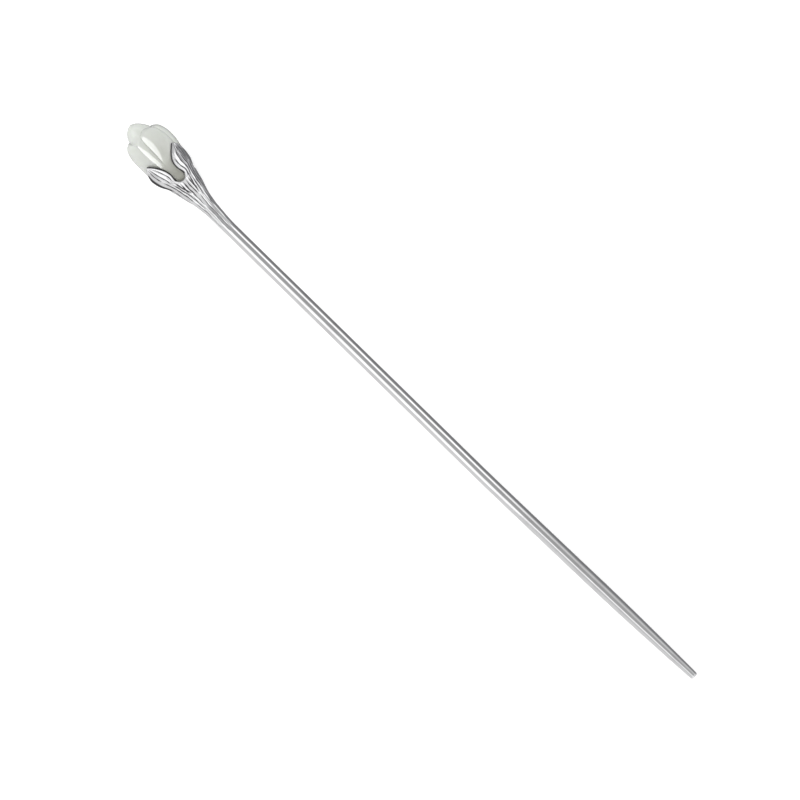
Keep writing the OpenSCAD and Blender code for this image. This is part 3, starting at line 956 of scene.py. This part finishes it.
def lightStudio():
    world = bpy.data.worlds.new("studio")
    world.use_nodes = True
    bpy.context.scene.world = world
    g = Graph(world.node_tree)
    direction = g.node("ShaderNodeTexCoord")
    parts = g.node("ShaderNodeSeparateXYZ", {}, (direction,))
    x, y, z = (Sock(g, parts.socket.node.outputs[n]) for n in range(3))
    around = g.node("ShaderNodeMath", {"operation": "ARCTAN2"}, (y, z)) * (180 / math.pi)
    along = g.node("ShaderNodeMath", {"operation": "ARCSINE"}, (x,)) * (180 / math.pi)

    def ramp(rows):
        stops = []
        for angle, light in rows:
            tints = studio["coolTint"] if angle > studio["coolFrom"] else (1, 1, 1)
            stops.append(((angle + 180) / 360, [light * tint for tint in tints]))
        return g.node("ShaderNodeValToRGB", {"stops": stops}, (around / 360 + 0.5,))

    ahead = g.steps(along, *studio["aheadFrom"])
    light = g.mix(ahead, ramp(studio["round"]), ramp(studio["ahead"]))
    studioLight = g.node("ShaderNodeBackground", {}, (light, 1.0))
    # behind the part, the picture shows a plain backdrop in place of the ramps
    backdrop = g.node("ShaderNodeBackground", {}, ((*studio["background"], 1), 1.0))
    seen = g.node("ShaderNodeLightPath")
    shown = g.node("ShaderNodeMixShader", {}, (seen, studioLight, backdrop))
    g.surface(shown, "ShaderNodeOutputWorld")


softboxes = {
    # a wide one overhead, which the silver doesn't mirror
    "overheadHeight": 2.0,
    "overheadSize": 4.0,
    "overheadLight": 0.9,
    # two long strips on the left of the bud, for the jade's gloss: their angles and light
    "petalHeight": 0.35,
    "petalStrips": [(-62, -40, 2.05), (-40, -20, 1.5)],
    "petalSpan": (-0.64, 0.05),  # where they start and end along the stick
    # a small one beyond the bud on its right, for the jade's top and right side
    "sidePlace": (-0.6, 0.6, 0.35),
    "sideSize": 0.5,
    "sideLight": 2.0,
}


def makeSoftbox(name, place, sizeX, sizeY, radiance):
    # sizes in metres
    light = bpy.data.lights.new(name, "AREA")
    light.shape = "RECTANGLE"
    light.size, light.size_y = sizeX, sizeY
    light.energy = radiance * math.pi * sizeX * sizeY
    softbox = bpy.data.objects.new(name, light)
    softbox.location = place
    softbox.visible_camera = False
    bpy.context.scene.collection.objects.link(softbox)
    return softbox


def lightBud(jadeBud):
    size = softboxes["overheadSize"]
    overhead = makeSoftbox("overhead softbox", (0, 0, softboxes["overheadHeight"]), size, size,
                           softboxes["overheadLight"])
    overhead.visible_glossy = False
    # the petal strips and the side softbox light the jade alone
    receivers = bpy.data.collections.new("lit by the small softboxes")
    receivers.objects.link(jadeBud)
    high = softboxes["petalHeight"]
    left, right = softboxes["petalSpan"]
    for farAngle, nearAngle, radiance in softboxes["petalStrips"]:
        far, near = (high * math.tan(math.radians(angle)) for angle in (farAngle, nearAngle))
        petalBox = makeSoftbox("petal softbox", ((left + right) / 2, (near + far) / 2, high),
                               right - left, near - far, radiance)
        petalBox.visible_diffuse = False
        petalBox.light_linking.receiver_collection = receivers
    side, place = softboxes["sideSize"], softboxes["sidePlace"]
    sideBox = makeSoftbox("side softbox", place, side, side, softboxes["sideLight"])
    sideBox.rotation_euler = Vector(place).to_track_quat("Z", "Y").to_euler()
    sideBox.visible_glossy = False
    sideBox.light_linking.receiver_collection = receivers


cards = {
    # height above the floor, angles round the stick and the stretch along it, in mm and
    # degrees. The right card begins to fade at the middle one of its three places.
    "height": 80.0,
    "rightAngles": (37, 67),
    "rightSpan": (-62, 28, 62),
    "rightStrength": 1.15,
    "tipAngles": (-64, -34),
    "tipSpan": (46, 125),
    "tipStrength": 0.55,
    "noFade": (900, 901),  # beyond both cards
}


def glowing(name, strength, low, high):
    # glows fully up to low along the stick, and fades out by high
    material, g = newMaterial(name)
    place = g.node("ShaderNodeTexCoord", output=3)
    x = g.node("ShaderNodeSeparateXYZ", {}, (place,))
    glow = g.node("ShaderNodeEmission", {}, ((1, 1, 1, 1), strength))
    clear = g.node("ShaderNodeBsdfTransparent")
    g.surface(g.node("ShaderNodeMixShader", {}, (g.steps(x, low * mm, high * mm), glow, clear)))
    return material


def makeSheet(name, xs, ys, z, material):
    # a level rectangle between two x and two y
    (x0, x1), (y0, y1) = xs, ys
    mesh = bpy.data.meshes.new(name)
    mesh.from_pydata([(x0, y0, z), (x1, y0, z), (x1, y1, z), (x0, y1, z)], [], [(0, 1, 2, 3)])
    mesh.materials.append(material)
    sheet = bpy.data.objects.new(name, mesh)
    bpy.context.scene.collection.objects.link(sheet)
    return sheet


def makeCard(name, angles, span, material):
    high = cards["height"] * mm
    sides = [high * math.tan(math.radians(angle)) for angle in angles]
    card = makeSheet(name, [x * mm for x in span], sides, high, material)
    # only seen in reflections
    for kind in ("camera", "diffuse", "transmission", "volume_scatter", "shadow"):
        setattr(card, "visible_" + kind, False)


def makeFloor():
    sides = (-floorLook["reach"], floorLook["reach"])
    floor = makeSheet("floor", sides, sides, 0, plainFloor())
    floor.visible_glossy = False  # the silver mirrors the studio, not the table


# Camera straight above, turned so that the stick runs across the picture as photographed

view = {
    "turn": 44.38,
    "aim": (-2.37, -1.521),
    "frameWidth": 182.28,
    "lens": 200.0,
    "sensor": 36.0,
    "stickHeight": 4.0,  # where the frame's width is measured
    "farthest": 20.0,
}


def placeCamera():
    camera = bpy.data.cameras.new("camera")
    camera.lens = view["lens"]
    camera.sensor_width = view["sensor"]
    camera.clip_end = view["farthest"]
    rig = bpy.data.objects.new("camera", camera)
    bpy.context.scene.collection.objects.link(rig)
    distance = view["frameWidth"] * view["lens"] / view["sensor"]
    x, y = view["aim"]
    rig.location = (x * mm, y * mm, (distance + view["stickHeight"]) * mm)
    rig.rotation_euler = (0, 0, math.radians(view["turn"]))
    bpy.context.scene.camera = rig


# Put together

silverStick = makeSilverStick()
silverStick.data.materials.append(oxidisedSilver())
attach(silverStick, "root")
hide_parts("silver_stick")

jadeBud = makeJadeBud()
jadeBud.data.materials.append(paleJade())
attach(jadeBud, "root")
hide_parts("jade_bud")
print("pieces finished")

makeFloor()
lightStudio()
lightBud(jadeBud)
start, fade, end = cards["rightSpan"]
makeCard("right card", cards["rightAngles"], (start, end),
         glowing("right light", cards["rightStrength"], fade, end))
makeCard("tip card", cards["tipAngles"], cards["tipSpan"],
         glowing("tip light", cards["tipStrength"], *cards["noFade"]))
placeCamera()
bpy.context.scene.view_settings.view_transform = "Standard"
print("studio and camera set")
